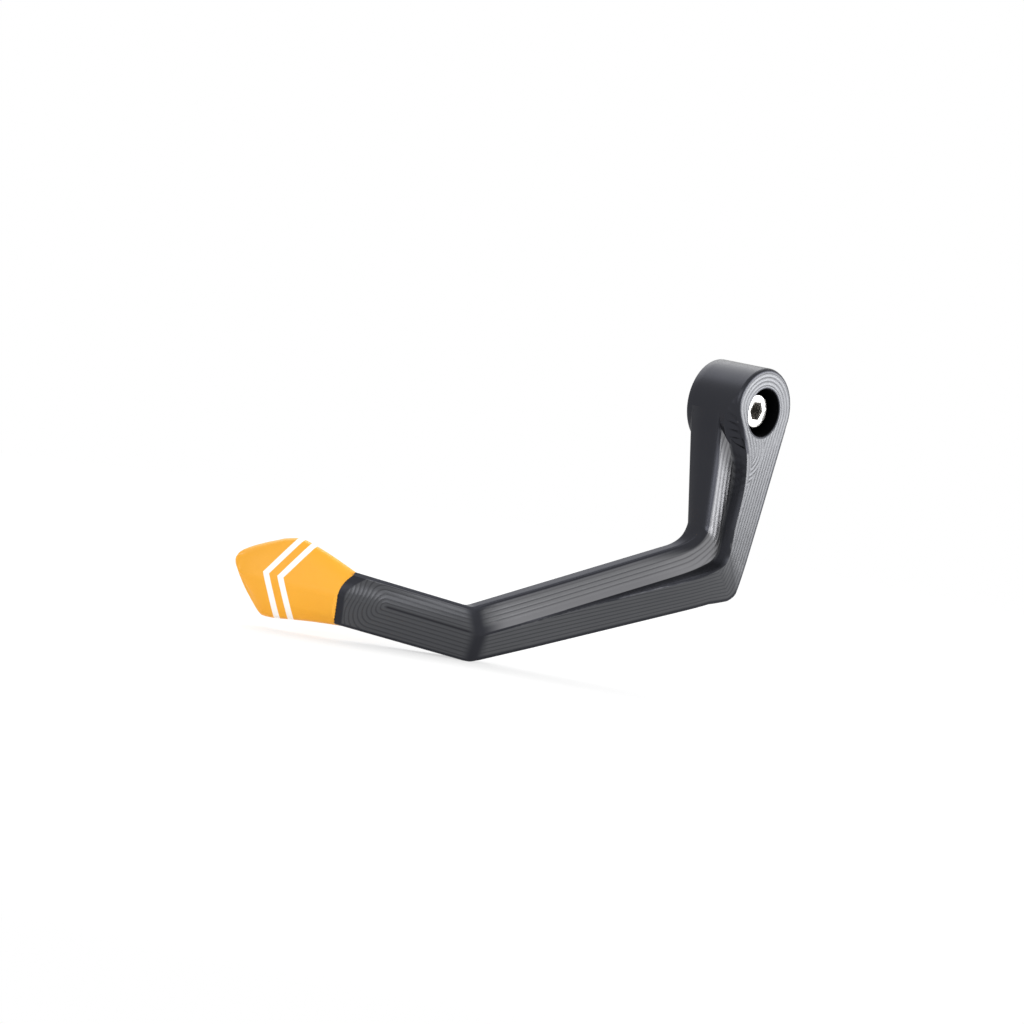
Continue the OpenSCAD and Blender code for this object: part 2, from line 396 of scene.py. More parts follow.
def soften(rows, first, last, times):
    """Evens out the levels along the rows from first to last, so that no crease is left."""
    span = rows[first - 1 : last + 1]
    gap = np.linalg.norm(np.diff(plan(span), axis=0), axis=-1) + 1e-6
    for _ in range(times):
        x = span[..., 0]
        middle = (x[:-2] * gap[1:] + x[2:] * gap[:-1]) / (gap[:-1] + gap[1:])
        span[1:-1, :, 0] = mix(x[1:-1], middle, 0.5)
    return rows


def between(a, b, ks):
    return [mix(a, b, k) for k in ks]


def plan(points):
    """Plan points [down, out] of points in space."""
    return np.stack([-points[..., 2], -points[..., 1]], -1)


def drop_rows(count):
    """Rows down the drop arm. The first one lies on the boss's round side."""
    start_r = np.full(COLUMNS, BOSS_R - 0.15)
    start_r[FACE_COLUMNS] = BOSS_R - 0.02
    start_r[STEP_COLUMNS] = BOSS_R - 0.6
    table = line_up(np.array([fine(drop(t)) for t in np.linspace(0, DROP_END, 133)]))
    r = np.linalg.norm(plan(table), axis=-1)
    rows = np.zeros((count, COLUMNS, 3))
    steps = np.arange(len(table))
    for j in range(COLUMNS):
        inside = np.nonzero(r[:, j] < start_r[j])[0]
        first = 0.0
        if len(inside) and inside[-1] + 1 < len(table):
            i = inside[-1]
            first = i + (start_r[j] - r[i, j]) / (r[i + 1, j] - r[i, j])
        elif r[:, j].min() < BOSS_R + 0.3:
            first = float(r[:, j].argmin())
        where = np.linspace(first, len(table) - 1, count)
        for axis in range(3):
            rows[:, j, axis] = np.interp(where, steps, table[:, j, axis])
    return rows


def arm_rows():
    """All rows of the arm, from the boss to a little past the rim, as [rows, columns, xyz]."""
    before = mix(MITRE, long_arm(0.89), 0.14)
    after = mix(MITRE, RIM, 0.045)
    fold_1 = mix(mix(before, after, 0.3), MITRE, 0.55)
    fold_2 = mix(mix(before, after, 0.7), MITRE, 0.55)
    rows = between(drop(DROP_END), elbow(0), np.linspace(0, 1, 22)[1:])
    rows += [elbow(k) for k in np.linspace(0, 1, 17)[1:]]
    rows += between(elbow(1), long_arm(0.1), np.linspace(0, 1, 12)[1:])
    rows += [long_arm(t) for t in np.linspace(0.1, 0.89, 72)[1:]]
    rows += between(long_arm(0.89), before, np.linspace(0, 1, 9)[1:])
    rows += between(before, fold_1, [0.33, 0.67, 1])
    rows += between(fold_1, fold_2, [0.33, 0.67, 1])
    rows += between(fold_2, after, [0.33, 0.67, 1])
    rows += between(MITRE, RIM, np.linspace(0.045, 0.66, 38)[1:])
    rows += between(MITRE, RIM, np.linspace(0.66, 1.14, 96)[1:])
    rows += between(MITRE, RIM, [1.25, 1.5])
    rest = line_up(crown(np.array([fine(row) for row in rows])))
    return soften(np.concatenate([drop_rows(DROP_ROWS), rest]), *SOFT_ROWS, SOFT_TIMES)


def distance_to(path, points):
    """Distance in plan from each point to a line of points."""
    a, step = path[:-1], np.diff(path, axis=0)
    length2 = (step**2).sum(-1) + 1e-12
    flat = points.reshape(-1, 2)
    out = np.zeros(len(flat))
    for low in range(0, len(flat), 4000):
        p = flat[low : low + 4000, None]
        k = np.clip(((p - a) * step).sum(-1) / length2, 0, 1)
        out[low : low + 4000] = np.linalg.norm(p - a - k[..., None] * step, axis=-1).min(1)
    return out.reshape(points.shape[:-1])


def hollow(d):
    """Depth (0 to 1) of the hollow at a distance d, and how near the ridge beside it is."""
    f = (d / PITCH) % 1
    return 4 * f * (1 - f), np.clip(1 - np.minimum(f, 1 - f) / RIDGE_SHARE, 0, 1)


# Where the boss's front edge is cut back beside the lever: [angle from straight down, radius at
# the front, radius at the ledge's level].
BOSS_CUT = np.array([
    [22.5, 13, 15.2], [27, 12.3, 14.5], [33, 11.5, 13.7], [45, 10.75, 12.95], [56, 10.5, 12.8],
    [69, 10.8, 12.95], [80, 11.45, 13.2], [90, 12.1, 13.5], [99, 12.6, 13.6], [112, 12.95, 13.6],
    [125, 13, 13.6],
])


def cut_radius(turn, column):
    """Radius of the cut-back part at an angle: 1 for the front edge, 2 for the ledge's level."""
    low, high = BOSS_CUT[0, 0], BOSS_CUT[-1, 0]
    cut = curve_through(BOSS_CUT[:, 0], BOSS_CUT[:, column], np.clip(turn, low, high))
    return np.where((turn > low) & (turn < high), cut, BOSS_R)


class Outline:
    """The edges that the cutter followed, and the milling lines that lie beside them."""

    def __init__(self, rows):
        flat = plan(rows)
        self.inner = flat[::2, COLUMN_OF[2]]
        self.outer = flat[::2, COLUMN_OF[11]]
        self.step = flat[::2, COLUMN_OF[8]]
        low = math.atan2(self.step[0][1], self.step[0][0])
        high = math.atan2(self.outer[0][1], self.outer[0][0]) + 2 * math.pi
        angles = np.linspace(low, high, 200)
        r = cut_radius(np.degrees(angles) % 360, 1)
        self.circle = np.stack([r * np.cos(angles), r * np.sin(angles)], -1)

    def face_distance(self, points):
        """Distance to the raised face's edge. A slanting line parts the two sets of lines."""
        to_circle = distance_to(self.circle, points)
        right = np.minimum(to_circle, distance_to(self.outer, points))
        left = np.minimum(to_circle, distance_to(self.step, points))
        parting = np.interp(points[..., 0], [0, 8.6, 25, 37.7, 46], [0, 0.5, 2.4, 2.7, 6])
        parting = parting + 0.18 * np.sin(points[..., 0] * 2.4)
        on_left = (points[..., 1] > parting) & (points[..., 0] > 0) & (points[..., 0] < 46)
        return np.where(on_left, left, right)


def arm_normals(rows):
    """Outward direction at each point of the rows."""
    along = np.gradient(rows, axis=0)
    around = np.roll(rows, -1, axis=1) - np.roll(rows, 1, axis=1)
    out = np.cross(around, along)
    out /= np.linalg.norm(out, axis=-1, keepdims=True) + 1e-12
    face_mid = (COLUMN_OF[8] + COLUMN_OF[9]) // 2
    return out * np.sign(out[:40, face_mid, 0].mean())


def face_share():
    """How far each column of the raised face is milled. It fades at both edges."""
    across = np.linspace(0, 1, len(FACE_COLUMNS))
    return smooth_step(across, 0, 0.05) * smooth_step(1 - across, 0, 0.05)


def ledge_share(flat):
    """How far each point of the ledge is milled. On the drop arm its inner edge stays plain."""
    across = np.linspace(0, 1, len(LEDGE_COLUMNS))
    drop_like = smooth_step(-flat[:, LEDGE_COLUMNS, 0], -52, -40)
    long_share = smooth_step(across, 0, 0.05) * smooth_step(-across, -0.8, -0.6)
    return mix(long_share, smooth_step(across, 0.15, 0.26), drop_like)


def mill_arm(rows, outline):
    """Cuts the hollows into the rows. Returns the rows, and for each point its finish, its painted
    shade and its painted highlight.
    """
    flat = plan(rows)
    short_at = flat - CORNER_2
    l = short_at @ u(SHORT_TURN)
    s = short_at @ n(SHORT_TURN)
    long_side = (flat - CORNER_2) @ u((LONG_TURN + SHORT_TURN) / 2)
    on_short_arm = smooth_step(long_side, -0.2, 0.2)
    fold_gap = smooth_step(np.abs(long_side), 0.5, 2.4)
    stretch = math.hypot(1, SHORT_SWEEP)
    past_pocket = np.maximum(0, l - POCKET_END) * stretch
    pocket = np.hypot(past_pocket, s - FOOT_W)
    groove = np.exp(-(((s - FOOT_W) / 0.4) ** 2))
    groove = groove * smooth_step(-l, -POCKET_END - 0.3, -POCKET_END + 0.8)
    rim_gap = -((rows - TIP_O) @ RIM_NORMAL)
    collar = smooth_step(rim_gap, 1.3, 1.8) * smooth_step(rim_gap - 0.32 * (7 - s), 1.0, 1.5)

    milled = np.zeros(flat.shape[:2])
    ridge = np.zeros(flat.shape[:2])
    depth = np.zeros(flat.shape[:2])
    wall_columns = STEP_COLUMNS[1:-1]
    unmilled = np.zeros((len(rows), len(wall_columns)))
    for columns, distance, ends in (
        (LEDGE_COLUMNS, distance_to(outline.inner, flat[:, LEDGE_COLUMNS]), ledge_share(flat)),
        (FACE_COLUMNS, outline.face_distance(flat[:, FACE_COLUMNS]), face_share()),
        (wall_columns, unmilled, unmilled),
    ):
        here = on_short_arm[:, columns]
        arm_cut, arm_ridge = hollow(distance)
        end_cut, end_ridge = hollow(pocket[:, columns])
        share = mix(ends * np.ones_like(here), collar[:, columns], here) * fold_gap[:, columns]
        middle = groove[:, columns] * here
        # On the short arm the milled colour is dimmed to 0.72 as painted shade. The ridge mask paints
        # shade along the milling ridges and along the short arm's middle groove.
        milled[:, columns] = share * mix(1, 0.72, here)
        depth[:, columns] = (mix(arm_cut, end_cut, here) + 2.5 * middle) * share
        ridge[:, columns] = np.maximum(mix(arm_ridge, end_ridge, here), 1.6 * middle) * share

    rows = rows - arm_normals(rows) * (HOLLOW * depth)[..., None]

    # The cutter's run-outs on the step wall below the boss, like fish scales.
    wall = flat[:, STEP_COLUMNS]
    low = smooth_step(wall[..., 0], 12, 14) * smooth_step(-wall[..., 0], -27, -19)
    up = np.linspace(0, 1, len(STEP_COLUMNS))
    bite = 0.4 * np.abs(np.sin(math.pi * (wall[..., 0] / 2.3 + 0.6 * up))) * np.sin(math.pi * up)
    rows[:, STEP_COLUMNS, 1] += bite * low

    # The ledge is polished by the cutter's side, most of all beside the step. Near the elbow its paler
    # colour is raised further as a painted highlight.
    pale = np.zeros_like(milled)
    ledge = np.arange(COLUMN_OF[5] - 1, COLUMN_OF[6])
    across = np.linspace(0, 1, len(ledge))
    on_drop_arm = smooth_step(-flat[:, ledge, 0], -50, -42)
    elbow_highlight = np.exp(-((np.linalg.norm(flat[:, ledge] - CORNER_1, axis=-1) / 9) ** 2))
    pale[:, ledge] = mix(0.4, 0.72, across) * smooth_step(-long_side[:, ledge], 0.6, 6)
    # The extra paleness near the elbow is a painted highlight.
    pale[:, ledge] *= mix(1, smooth_step(across, 0.15, 0.3), on_drop_arm) * (1 + 0.6 * elbow_highlight)
    covered = np.zeros_like(milled)
    covered[:2] = [[1], [0.9]]
    return rows, dict(milled=milled, ridge=ridge, pale=pale, covered=covered)


def grid_faces(rows, columns, wrap_rows=False):
    """Faces of a grid that closes round its columns, and round its rows too if asked."""
    faces = []
    for i in range(rows if wrap_rows else rows - 1):
        a, b = i * columns, (i + 1) % rows * columns
        for j in range(columns):
            k = (j + 1) % columns
            faces.append((a + j, b + j, b + k, a + k))
    return faces


def end_face(rows, columns):
    """The face that closes a grid's last row."""
    return tuple((rows - 1) * columns + j for j in range(columns))


def boss_end_faces(first_row):
    """Closes the arm's first row along the boss's side: front points are zipped to back points."""
    front = list(range(COLUMN_OF[2], COLUMN_OF[11] + 1))
    back = list(range(COLUMN_OF[2], -1, -1)) + list(range(COLUMNS - 1, COLUMN_OF[11] - 1, -1))
    out = -first_row[:, 1]
    faces = []
    i = j = 0
    while i < len(front) - 1 or j < len(back) - 1:
        step_front = j == len(back) - 1 or (
            i < len(front) - 1 and out[front[i + 1]] > out[back[j + 1]]
        )
        if step_front:
            tri = (front[i], front[i + 1], back[j])
            i += 1
        else:
            tri = (front[i], back[j + 1], back[j])
            j += 1
        if len(set(tri)) == 3:
            faces.append(tri)
    return faces


def boss_profile():
    """The boss's section as points [radius, along], and where its wall, ring and bore start."""
    e, m = BACK_EDGE, MOUTH_EDGE
    points = [(SHANK_BORE_R, m), (SHANK_BORE_R + m, 0), (BOSS_R - e, 0), (BOSS_R - 0.3 * e, 0.3 * e)]
    points += [(BOSS_R, x) for x in np.linspace(e, LEDGE_X - 0.04, 7)]
    wall = len(points)
    points += [(BOSS_R, x) for x in np.linspace(LEDGE_X, BOSS_LENGTH - FRONT_EDGE, 14)]
    ring = len(points)
    points += [(r, BOSS_LENGTH) for r in np.linspace(BOSS_R, COUNTERBORE_R + m, 56)]
    bore = len(points)
    points += [(COUNTERBORE_R, BOSS_LENGTH - m), (COUNTERBORE_R, mix(SEAT_X, BOSS_LENGTH, 0.5))]
    points += [(COUNTERBORE_R, SEAT_X), (SHANK_BORE_R + m, SEAT_X), (SHANK_BORE_R, SEAT_X - m)]
    return np.array(points), wall, ring, bore


def build_boss(outline, turns=280):
    """The round boss, as rows of angles. The ring on its face is milled round the counterbore. The
    ring's milling ridges and the inside of the counterbore are marked for painted shade.
    """
    profile, wall, first, bore = boss_profile()
    angles = np.arange(turns) * 2 * math.pi / turns
    turn = np.degrees(angles)[:, None]
    r = np.repeat(profile[None, :, 0], turns, 0)
    x = np.repeat(profile[None, :, 1], turns, 0)

    # The cut-back part of the front edge, with a scalloped wall below it.
    edge = cut_radius(turn, 1)
    mouth = COUNTERBORE_R + MOUTH_EDGE
    height = (x[:, wall:first] - LEDGE_X) / (BOSS_LENGTH - FRONT_EDGE - LEDGE_X)
    cut = np.clip((BOSS_R - edge) / 2, 0, 1) * smooth_step(turn, 32, 45)
    scallop = np.abs(np.sin(math.pi * (turn / 13 + 0.7 * height))) * np.sin(math.pi * height)
    sloping = mix(cut_radius(turn, 2), edge, height) - 0.45 * cut * scallop
    r[:, wall:first] = np.minimum(BOSS_R, sloping)
    soft_edge = np.where(turn < 125, smooth_step(turn, 24, 70), 1)
    r[:, first:bore] = mouth + (r[:, first:bore] - mouth) * (edge - mouth) / (BOSS_R - mouth)

    flat = np.stack([r * np.cos(angles)[:, None], r * np.sin(angles)[:, None]], -1)
    distance = outline.face_distance(flat[:, first:bore])
    hollowed, near_ridge = hollow(distance)
    share = smooth_step(distance, 0.95, 1.1) * smooth_step(r[:, first:bore], 7.5, 7.7)
    rounding = np.interp(distance, [0, 0.15, 0.4, 0.7, FRONT_EDGE], [FRONT_EDGE, 0.62, 0.25, 0.07, 0])
    x[:, first:bore] -= rounding * soft_edge + 0.7 * HOLLOW * hollowed * share
    milled, ridge, shaded_recess = np.zeros_like(r), np.zeros_like(r), np.zeros_like(r)
    # Milled colour on the ring, with painted shade along its milling ridges.
    milled[:, first:bore] = share
    ridge[:, first:bore] = near_ridge * share
    # The inside of the counterbore is marked for painted shade.
    shaded_recess[:, bore:] = 1
    points = np.stack([x, -flat[..., 1], -flat[..., 0]], -1)
    covered = np.zeros_like(r)
    covered[:, wall:first] = 0.9
    return points, dict(milled=milled, ridge=ridge, shaded_recess=shaded_recess, covered=covered)


def make_object(name, points, faces, **values):
    """A mesh object in metres, with one number for each point under each given name."""
    mesh = bpy.data.meshes.new(name)
    mesh.from_pydata((points * MM).tolist(), [], faces)
    for key, numbers in values.items():
        layer = mesh.attributes.new(key, "FLOAT", "POINT")
        layer.data.foreach_set("value", np.asarray(numbers, np.float32).ravel())
    mesh.update()
    obj = bpy.data.objects.new(name, mesh)
    bpy.context.scene.collection.objects.link(obj)
    return obj


def pick(*objects):
    bpy.ops.object.select_all(action="DESELECT")
    for obj in objects:
        obj.select_set(True)
    bpy.context.view_layer.objects.active = objects[0]


def in_edit_mode(obj, work):
    """Runs work on obj in edit mode with everything selected."""
    pick(obj)
    bpy.ops.object.mode_set(mode="EDIT")
    bpy.ops.mesh.select_all(action="SELECT")
    work()
    bpy.ops.object.mode_set(mode="OBJECT")


def face_outwards():
    bpy.ops.mesh.normals_make_consistent(inside=False)


def smooth(obj, angle):
    pick(obj)
    bpy.ops.object.shade_smooth_by_angle(angle=math.radians(angle))


def cut_at_rim(obj, keep_arm, gap):
    """Cuts obj at the slanted rim, and closes it there."""
    place = (TIP_O + RIM_NORMAL * gap) * MM
    in_edit_mode(
        obj,
        lambda: bpy.ops.mesh.bisect(
            plane_co=place.tolist(),
            plane_no=RIM_NORMAL.tolist(),
            use_fill=True,
            clear_outer=keep_arm,
            clear_inner=not keep_arm,
        ),
    )


def build_guard_arm():
    rows = arm_rows()
    outline = Outline(rows)
    rows, finish_and_painted_light = mill_arm(rows, outline)
    count = len(rows)
    faces = grid_faces(count, COLUMNS)
    faces += boss_end_faces(rows[0])
    faces.append(end_face(count, COLUMNS))
    arm = make_object("guard_arm_milled", rows.reshape(-1, 3), faces, **finish_and_painted_light)
    in_edit_mode(arm, face_outwards)
    cut_at_rim(arm, True, 0)
    points, finish_and_painted_light = build_boss(outline)
    boss = make_object(
        "boss",
        points.reshape(-1, 3),
        grid_faces(points.shape[0], points.shape[1], wrap_rows=True),
        **finish_and_painted_light,
    )
    in_edit_mode(boss, face_outwards)
    pick(arm, boss)
    bpy.ops.object.join()
    smooth(arm, 42)
    hidden_end = np.zeros(len(arm.data.vertices), np.float32)
    arm.data.attributes["covered"].data.foreach_get("value", hidden_end)
    for edge in arm.data.edges:
        if min(hidden_end[i] for i in edge.vertices) > 0.95:
            edge.use_edge_sharp = True
    return arm


# The tip's outline: [along, upper edge, lower edge, thickness], for a tip 33 long.
TIP_OUTLINE = np.array([
    [-9, 0.5, 15.7, 0.97], [-1, 0.2, 16.1, 0.98], [3, -1.2, 16.7, 1.02], [8, -2.9, 17.5, 1.04],
    [13, -4.3, 18.5, 1.05], [15.8, -4.9, 19.1, 1.05], [17.6, -4.9, 19.5, 1.05],
    [20.6, -4, 19.8, 1.04], [21.8, -3.5, 19.7, 1.02], [22.8, -2.9, 19.1, 1], [25.5, -1.4, 16.5, 0.93],
    [28.4, 0.4, 13.4, 0.8], [30.6, 2, 10.6, 0.63], [31.9, 3.2, 8.7, 0.46], [32.7, 4.4, 7.4, 0.28],
    [33, 5.4, 6.5, 0.12],
])


def tip_row(x, a, b, thick):
    """The tip's section at x, from edge a to edge b, as points [across, front]."""
    top = min(b - 1, max(a + 1, TIP_MID_Y + 0.06 * x))
    e = min(1, (b - a) / 6)
    points = np.array([
        [a, -0.7], [a + 0.3 * e, 0.9], [a + 1.2 * e, 2], [mix(a, top, 0.35), 3.15],
        [mix(a, top, 0.7), 4.05], [top, 4.7], [mix(top, b, 0.3), 4], [mix(top, b, 0.65), 2.75],
        [b - 1.2 * e, 1.2], [b - 0.3 * e, 0.2], [b, -1.2], [b - 0.3 * e, -2.7],
        [b - 1.4 * e, -3.7], [mix(a, b, 0.65), -4.4], [mix(a, b, 0.35), -4.5],
        [a + 1.4 * e, -3.9], [a + 0.3 * e, -2.5],
    ])
    return points * [1, thick] + [0, TIP_MID_Z]


def build_end_tip(columns=136, rows=110):
    """The nylon tip: a smooth skin over its sections, closed where it meets the arm's rim."""
    keys = TIP_OUTLINE[:, 0]
    bend = np.linspace(0, 1, rows)
    x = keys[0] + (keys[-1] - keys[0]) * np.sin(bend * math.pi / 2)
    shape = np.stack([np.interp(x, keys, TIP_OUTLINE[:, c]) for c in (1, 2, 3)], -1)
    soft = np.stack([curve_through(keys, TIP_OUTLINE[:, c], x) for c in (1, 2, 3)], -1)
    shape = mix(shape, soft, 0.7)
    grid = np.zeros((rows, columns, 3))
    own = np.zeros((rows, columns, 2))
    for i in range(rows):
        ring = tip_row(x[i], *shape[i])
        wrapped = np.concatenate([ring[-3:], ring, ring[:3]])
        turns = np.linspace(0, len(ring), columns, endpoint=False)
        around = curve_through(np.arange(-3.0, len(ring) + 3), wrapped, turns)
        along = x[i] * TIP_LENGTH / keys[-1]
        grid[i] = TIP_O + along * TIP_X + around[:, :1] * TIP_Y + around[:, 1:] * TIP_Z
        own[i] = np.stack([np.full(columns, along), around[:, 0]], -1)
    faces = grid_faces(rows, columns)
    faces += [end_face(1, columns), end_face(rows, columns)]
    tip = make_object(
        "end_tip_moulded", grid.reshape(-1, 3), faces, along=own[..., 0], across=own[..., 1]
    )
    in_edit_mode(tip, face_outwards)
    cut_at_rim(tip, False, 0.12)
    smooth(tip, 40)
    return tip


def add_cylinder(sides, r, low, high):
    """A cylinder along X, with its edges at millimetre places low and high."""
    bpy.ops.object.select_all(action="DESELECT")
    bpy.ops.mesh.primitive_cylinder_add(
        vertices=sides,
        radius=r * MM,
        depth=(high - low) * MM,
        location=((low + high) / 2 * MM, 0, 0),
        rotation=(0, math.pi / 2, 0),
    )
    bpy.ops.object.transform_apply(location=True, rotation=True, scale=True)
    return bpy.context.object


def choose(obj, kind, wanted):
    """Enters edit mode with only the edges or faces selected for which wanted is true."""
    pick(obj)
    bpy.ops.object.mode_set(mode="EDIT")
    bpy.ops.mesh.select_mode(type=kind)
    bpy.ops.mesh.select_all(action="DESELECT")
    bpy.ops.object.mode_set(mode="OBJECT")
    for part in obj.data.edges if kind == "EDGE" else obj.data.polygons:
        corners = [obj.data.vertices[i].co / MM for i in part.vertices]
        part.select = all(wanted(co.x, math.hypot(co.y, co.z)) for co in corners)
    bpy.ops.object.mode_set(mode="EDIT")


def build_mounting_bolt():
    """The socket-head bolt: a knurled head with a hexagon socket, and a threaded shank."""
    top = SEAT_X + HEAD_H
    head = add_cylinder(HEAD_SIDES, HEAD_R, SEAT_X, top)
    head.name = "mounting_bolt_steel"
    choose(head, "EDGE", lambda x, r: x > top - NEAR)
    bpy.ops.mesh.bevel(offset=HEAD_EDGE * MM, segments=4, affect="EDGES")
    bpy.ops.object.mode_set(mode="OBJECT")
    band = SEAT_X + KNURL_START, top - KNURL_TOP_GAP
    for x in band:
        in_edit_mode(head, lambda: bpy.ops.mesh.bisect(plane_co=(x * MM, 0, 0), plane_no=(1, 0, 0)))
    choose(
        head,
        "FACE",
        lambda x, r: band[0] - NEAR < x < band[1] + NEAR and r > HEAD_R - 0.1,
    )
    bpy.ops.object.mode_set(mode="OBJECT")
    for face in head.data.polygons:
        turn = math.atan2(face.center.y, face.center.z) / (2 * math.pi) * HEAD_SIDES
        face.select = face.select and math.floor(turn) % 2 == 0
    bpy.ops.object.mode_set(mode="EDIT")
    bpy.ops.mesh.inset(thickness=KNURL_INSET * MM, depth=-KNURL_DEPTH * MM, use_individual=True)
    bpy.ops.object.mode_set(mode="OBJECT")

    socket_r = HEX_FLATS / 2 / cosd(30)
    key_hole = add_cylinder(6, socket_r, top - HEX_DEPTH, top + 1)
    cutter = head.modifiers.new("socket", "BOOLEAN")
    cutter.object = key_hole
    cutter.solver = "EXACT"
    pick(head)
    bpy.ops.object.modifier_apply(modifier=cutter.name)
    bpy.data.objects.remove(key_hole)
    choose(head, "EDGE", lambda x, r: x > top - NEAR and r < socket_r + 0.05)
    bpy.ops.mesh.bevel(offset=SOCKET_BEVEL * MM, segments=2, affect="EDGES")
    bpy.ops.object.mode_set(mode="OBJECT")
    # Points inside the hex socket, darkened in the material as painted shade.
    places = [v.co / MM for v in head.data.vertices]
    shaded_recess = [float(p.x < top - 0.25 and math.hypot(p.y, p.z) < 3) for p in places]
    head.data.attributes.new("shaded_recess", "FLOAT", "POINT").data.foreach_set("value", shaded_recess)

    turns = 72
    along = np.concatenate([np.arange(BOLT_END, 0.01, THREAD_PITCH / 10), [0.1, SEAT_X + 0.2]])
    angle = np.arange(turns) * 2 * math.pi / turns
    phase = (along[:, None] / THREAD_PITCH - angle[None] / (2 * math.pi)) % 1
    groove = np.clip(1.25 * np.abs(2 * phase - 1) - 0.12, 0, 1)
    r = BOLT_R - THREAD_DEPTH * groove * smooth_step(along, BOLT_END - 0.5, BOLT_END + 0.6)[:, None]
    r = np.minimum(r, BOLT_R - 0.5 + smooth_step(along, BOLT_END, BOLT_END + 0.6)[:, None])
    r[along > 0] = NECK_R
    grid = np.stack([
        np.repeat(along[:, None], turns, 1), r * np.sin(angle), r * np.cos(angle)
    ], -1)
    faces = grid_faces(len(along), turns)
    faces += [end_face(1, turns), end_face(len(along), turns)]
    shank = make_object("shank", grid.reshape(-1, 3), faces)
    in_edit_mode(shank, face_outwards)
    pick(head, shank)
    bpy.ops.object.join()
    smooth(head, 35)
    return head


# Materials.


def node_group(name, inputs, outputs):
    """An empty shader node group with the given inputs (with defaults) and outputs."""
    group = bpy.data.node_groups.new(name, "ShaderNodeTree")
    for label, kind, default in inputs:
        socket = group.interface.new_socket(label, in_out="INPUT", socket_type=kind)
        if default is not None:
            socket.default_value = default
    for label, kind in outputs:
        group.interface.new_socket(label, in_out="OUTPUT", socket_type=kind)
    return group, group.nodes.new("NodeGroupInput"), group.nodes.new("NodeGroupOutput")


def add(tree, kind, links=None, **settings):
    """A new node. links joins its inputs, by name or number, to sockets or sets their values."""
    node = tree.nodes.new(kind)
    for key, value in settings.items():
        setattr(node, key, value)
    for key, value in (links or {}).items():
        socket = node.inputs[key]
        if isinstance(value, bpy.types.NodeSocket):
            tree.links.new(value, socket)
        else:
            socket.default_value = value
    return node


def maths(tree, operation, *values, clamp=False):
    node = add(tree, "ShaderNodeMath", dict(enumerate(values)), operation=operation)
    node.use_clamp = clamp
    return node.outputs[0]


def blend_colour(tree, share, a, b):
    node = add(tree, "ShaderNodeMix", data_type="RGBA")
    for socket, value in ((0, share), (6, a), (7, b)):
        if isinstance(value, bpy.types.NodeSocket):
            tree.links.new(value, node.inputs[socket])
        else:
            node.inputs[socket].default_value = value
    return node.outputs[2]


def rescale(tree, value, from_low, from_high, low=0.0, high=1.0):
    """A value between from_low and from_high, brought to low and high."""
    node = add(
        tree,
        "ShaderNodeMapRange",
        {
            "Value": value,
            "From Min": from_low,
            "From Max": from_high,
            "To Min": low,
            "To Max": high,
        },
    )
    return node.outputs[0]


def spread(tree, value, low, high):
    """Noise's middle range brought to low and high."""
    return rescale(tree, value, 0.3, 0.7, low, high)


def own_value(tree, name):
    """The number that the piece's mesh holds under this name."""
    return add(tree, "ShaderNodeAttribute", attribute_name=name).outputs["Fac"]


FLOAT = "NodeSocketFloat"


def grain_group():
    """Fine grain and slow cloudiness in the piece's own coordinates, both about 0 to 1."""
    group, given, out = node_group(
        "surface_grain",
        [("Fine scale", FLOAT, 2500.0), ("Cloud scale", FLOAT, 90.0)],
        [("Fine", FLOAT), ("Cloud", FLOAT)],
    )
    place = add(group, "ShaderNodeTexCoord").outputs["Object"]
    fine_noise = add(
        group,
        "ShaderNodeTexNoise",
        {"Vector": place, "Scale": given.outputs["Fine scale"], "Detail": 3.0, "Roughness": 0.6},
    )
    cloud = add(
        group,
        "ShaderNodeTexNoise",
        {"Vector": place, "Scale": given.outputs["Cloud scale"], "Detail": 4.0, "Roughness": 0.55},
    )
    group.links.new(fine_noise.outputs[0], out.inputs["Fine"])
    group.links.new(cloud.outputs[0], out.inputs["Cloud"])
    return group


def edge_group():
    """Wear on outward edges: 0 on flat surface, up to 1 on the sharpest edges."""
    group, given, out = node_group(
        "edge_wear", [("Start", FLOAT, 0.53), ("End", FLOAT, 0.62), ("Break-up", FLOAT, 0.5)],
        [("Wear", FLOAT)],
    )
    point = add(group, "ShaderNodeNewGeometry").outputs["Pointiness"]
    sharp = rescale(group, point, given.outputs["Start"], given.outputs["End"])
    place = add(group, "ShaderNodeTexCoord").outputs["Object"]
    noise = add(group, "ShaderNodeTexNoise", {"Vector": place, "Scale": 600.0, "Detail": 3.0})
    broken = rescale(group, noise.outputs[0], 0.35, 0.65, 0.2)
    wear = maths(group, "MULTIPLY", sharp, broken, clamp=True)
    group.links.new(wear, out.inputs["Wear"])
    return group


GRAIN = grain_group()
EDGE = edge_group()


def use_group(tree, group, **values):
    node = tree.nodes.new("ShaderNodeGroup")
    node.node_tree = group
    for key, value in values.items():
        node.inputs[key.replace("_", " ")].default_value = value
    return node


def new_material(name, **settings):
    """A material with its shader. Numbers that don't vary go straight on the shader."""
    material = bpy.data.materials.new(name)
    material.use_nodes = True
    shader = material.node_tree.nodes["Principled BSDF"]
    for key, value in settings.items():
        shader.inputs[key.replace("_", " ")].default_value = value
    return material, material.node_tree, shader


def bump(tree, shader, height, strength, distance):
    node = add(
        tree, "ShaderNodeBump", {"Height": height, "Strength": strength, "Distance": distance}
    )
    tree.links.new(node.outputs[0], shader.inputs["Normal"])


